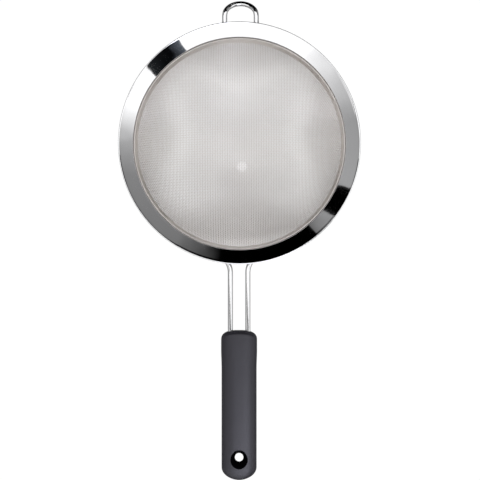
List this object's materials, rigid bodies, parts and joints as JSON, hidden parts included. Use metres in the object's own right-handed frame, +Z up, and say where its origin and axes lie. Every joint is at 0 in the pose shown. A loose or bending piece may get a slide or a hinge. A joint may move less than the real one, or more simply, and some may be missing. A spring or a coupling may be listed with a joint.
{
  "type": "kitchen strainer",
  "caption": "Hand strainer with a dished wire-cloth bowl in a flared polished rim, a resting loop, a two-rod handle and a soft grip with a hanging hole.",
  "frame": {"origin": "on the table under the middle of the part's bounding box, with the strainer lying on its bowl and the tip of its grip", "axes": "+Y from the grip towards the resting loop, +Z up from the table, +X across; the rim is tilted 13.6 degrees about X, down towards the grip"},
  "size_m": [0.226, 0.4372, 0.1174],
  "materials": {
    "polished_steel": "polished",
    "satin_steel": "satin",
    "wire_cloth": "drawn wire",
    "core_plastic": "moulded",
    "grip_rubber": "matte"
  },
  "bodies": {
    "root": {"rim_band": "polished_steel", "mesh_clamp_ring": "satin_steel", "mesh_bowl": "wire_cloth", "rest_loop": "polished_steel", "handle_rod_right": "polished_steel", "handle_rod_left": "polished_steel", "handle_core": "core_plastic", "grip_sleeve": "grip_rubber"}
  },
  "joints": []
}
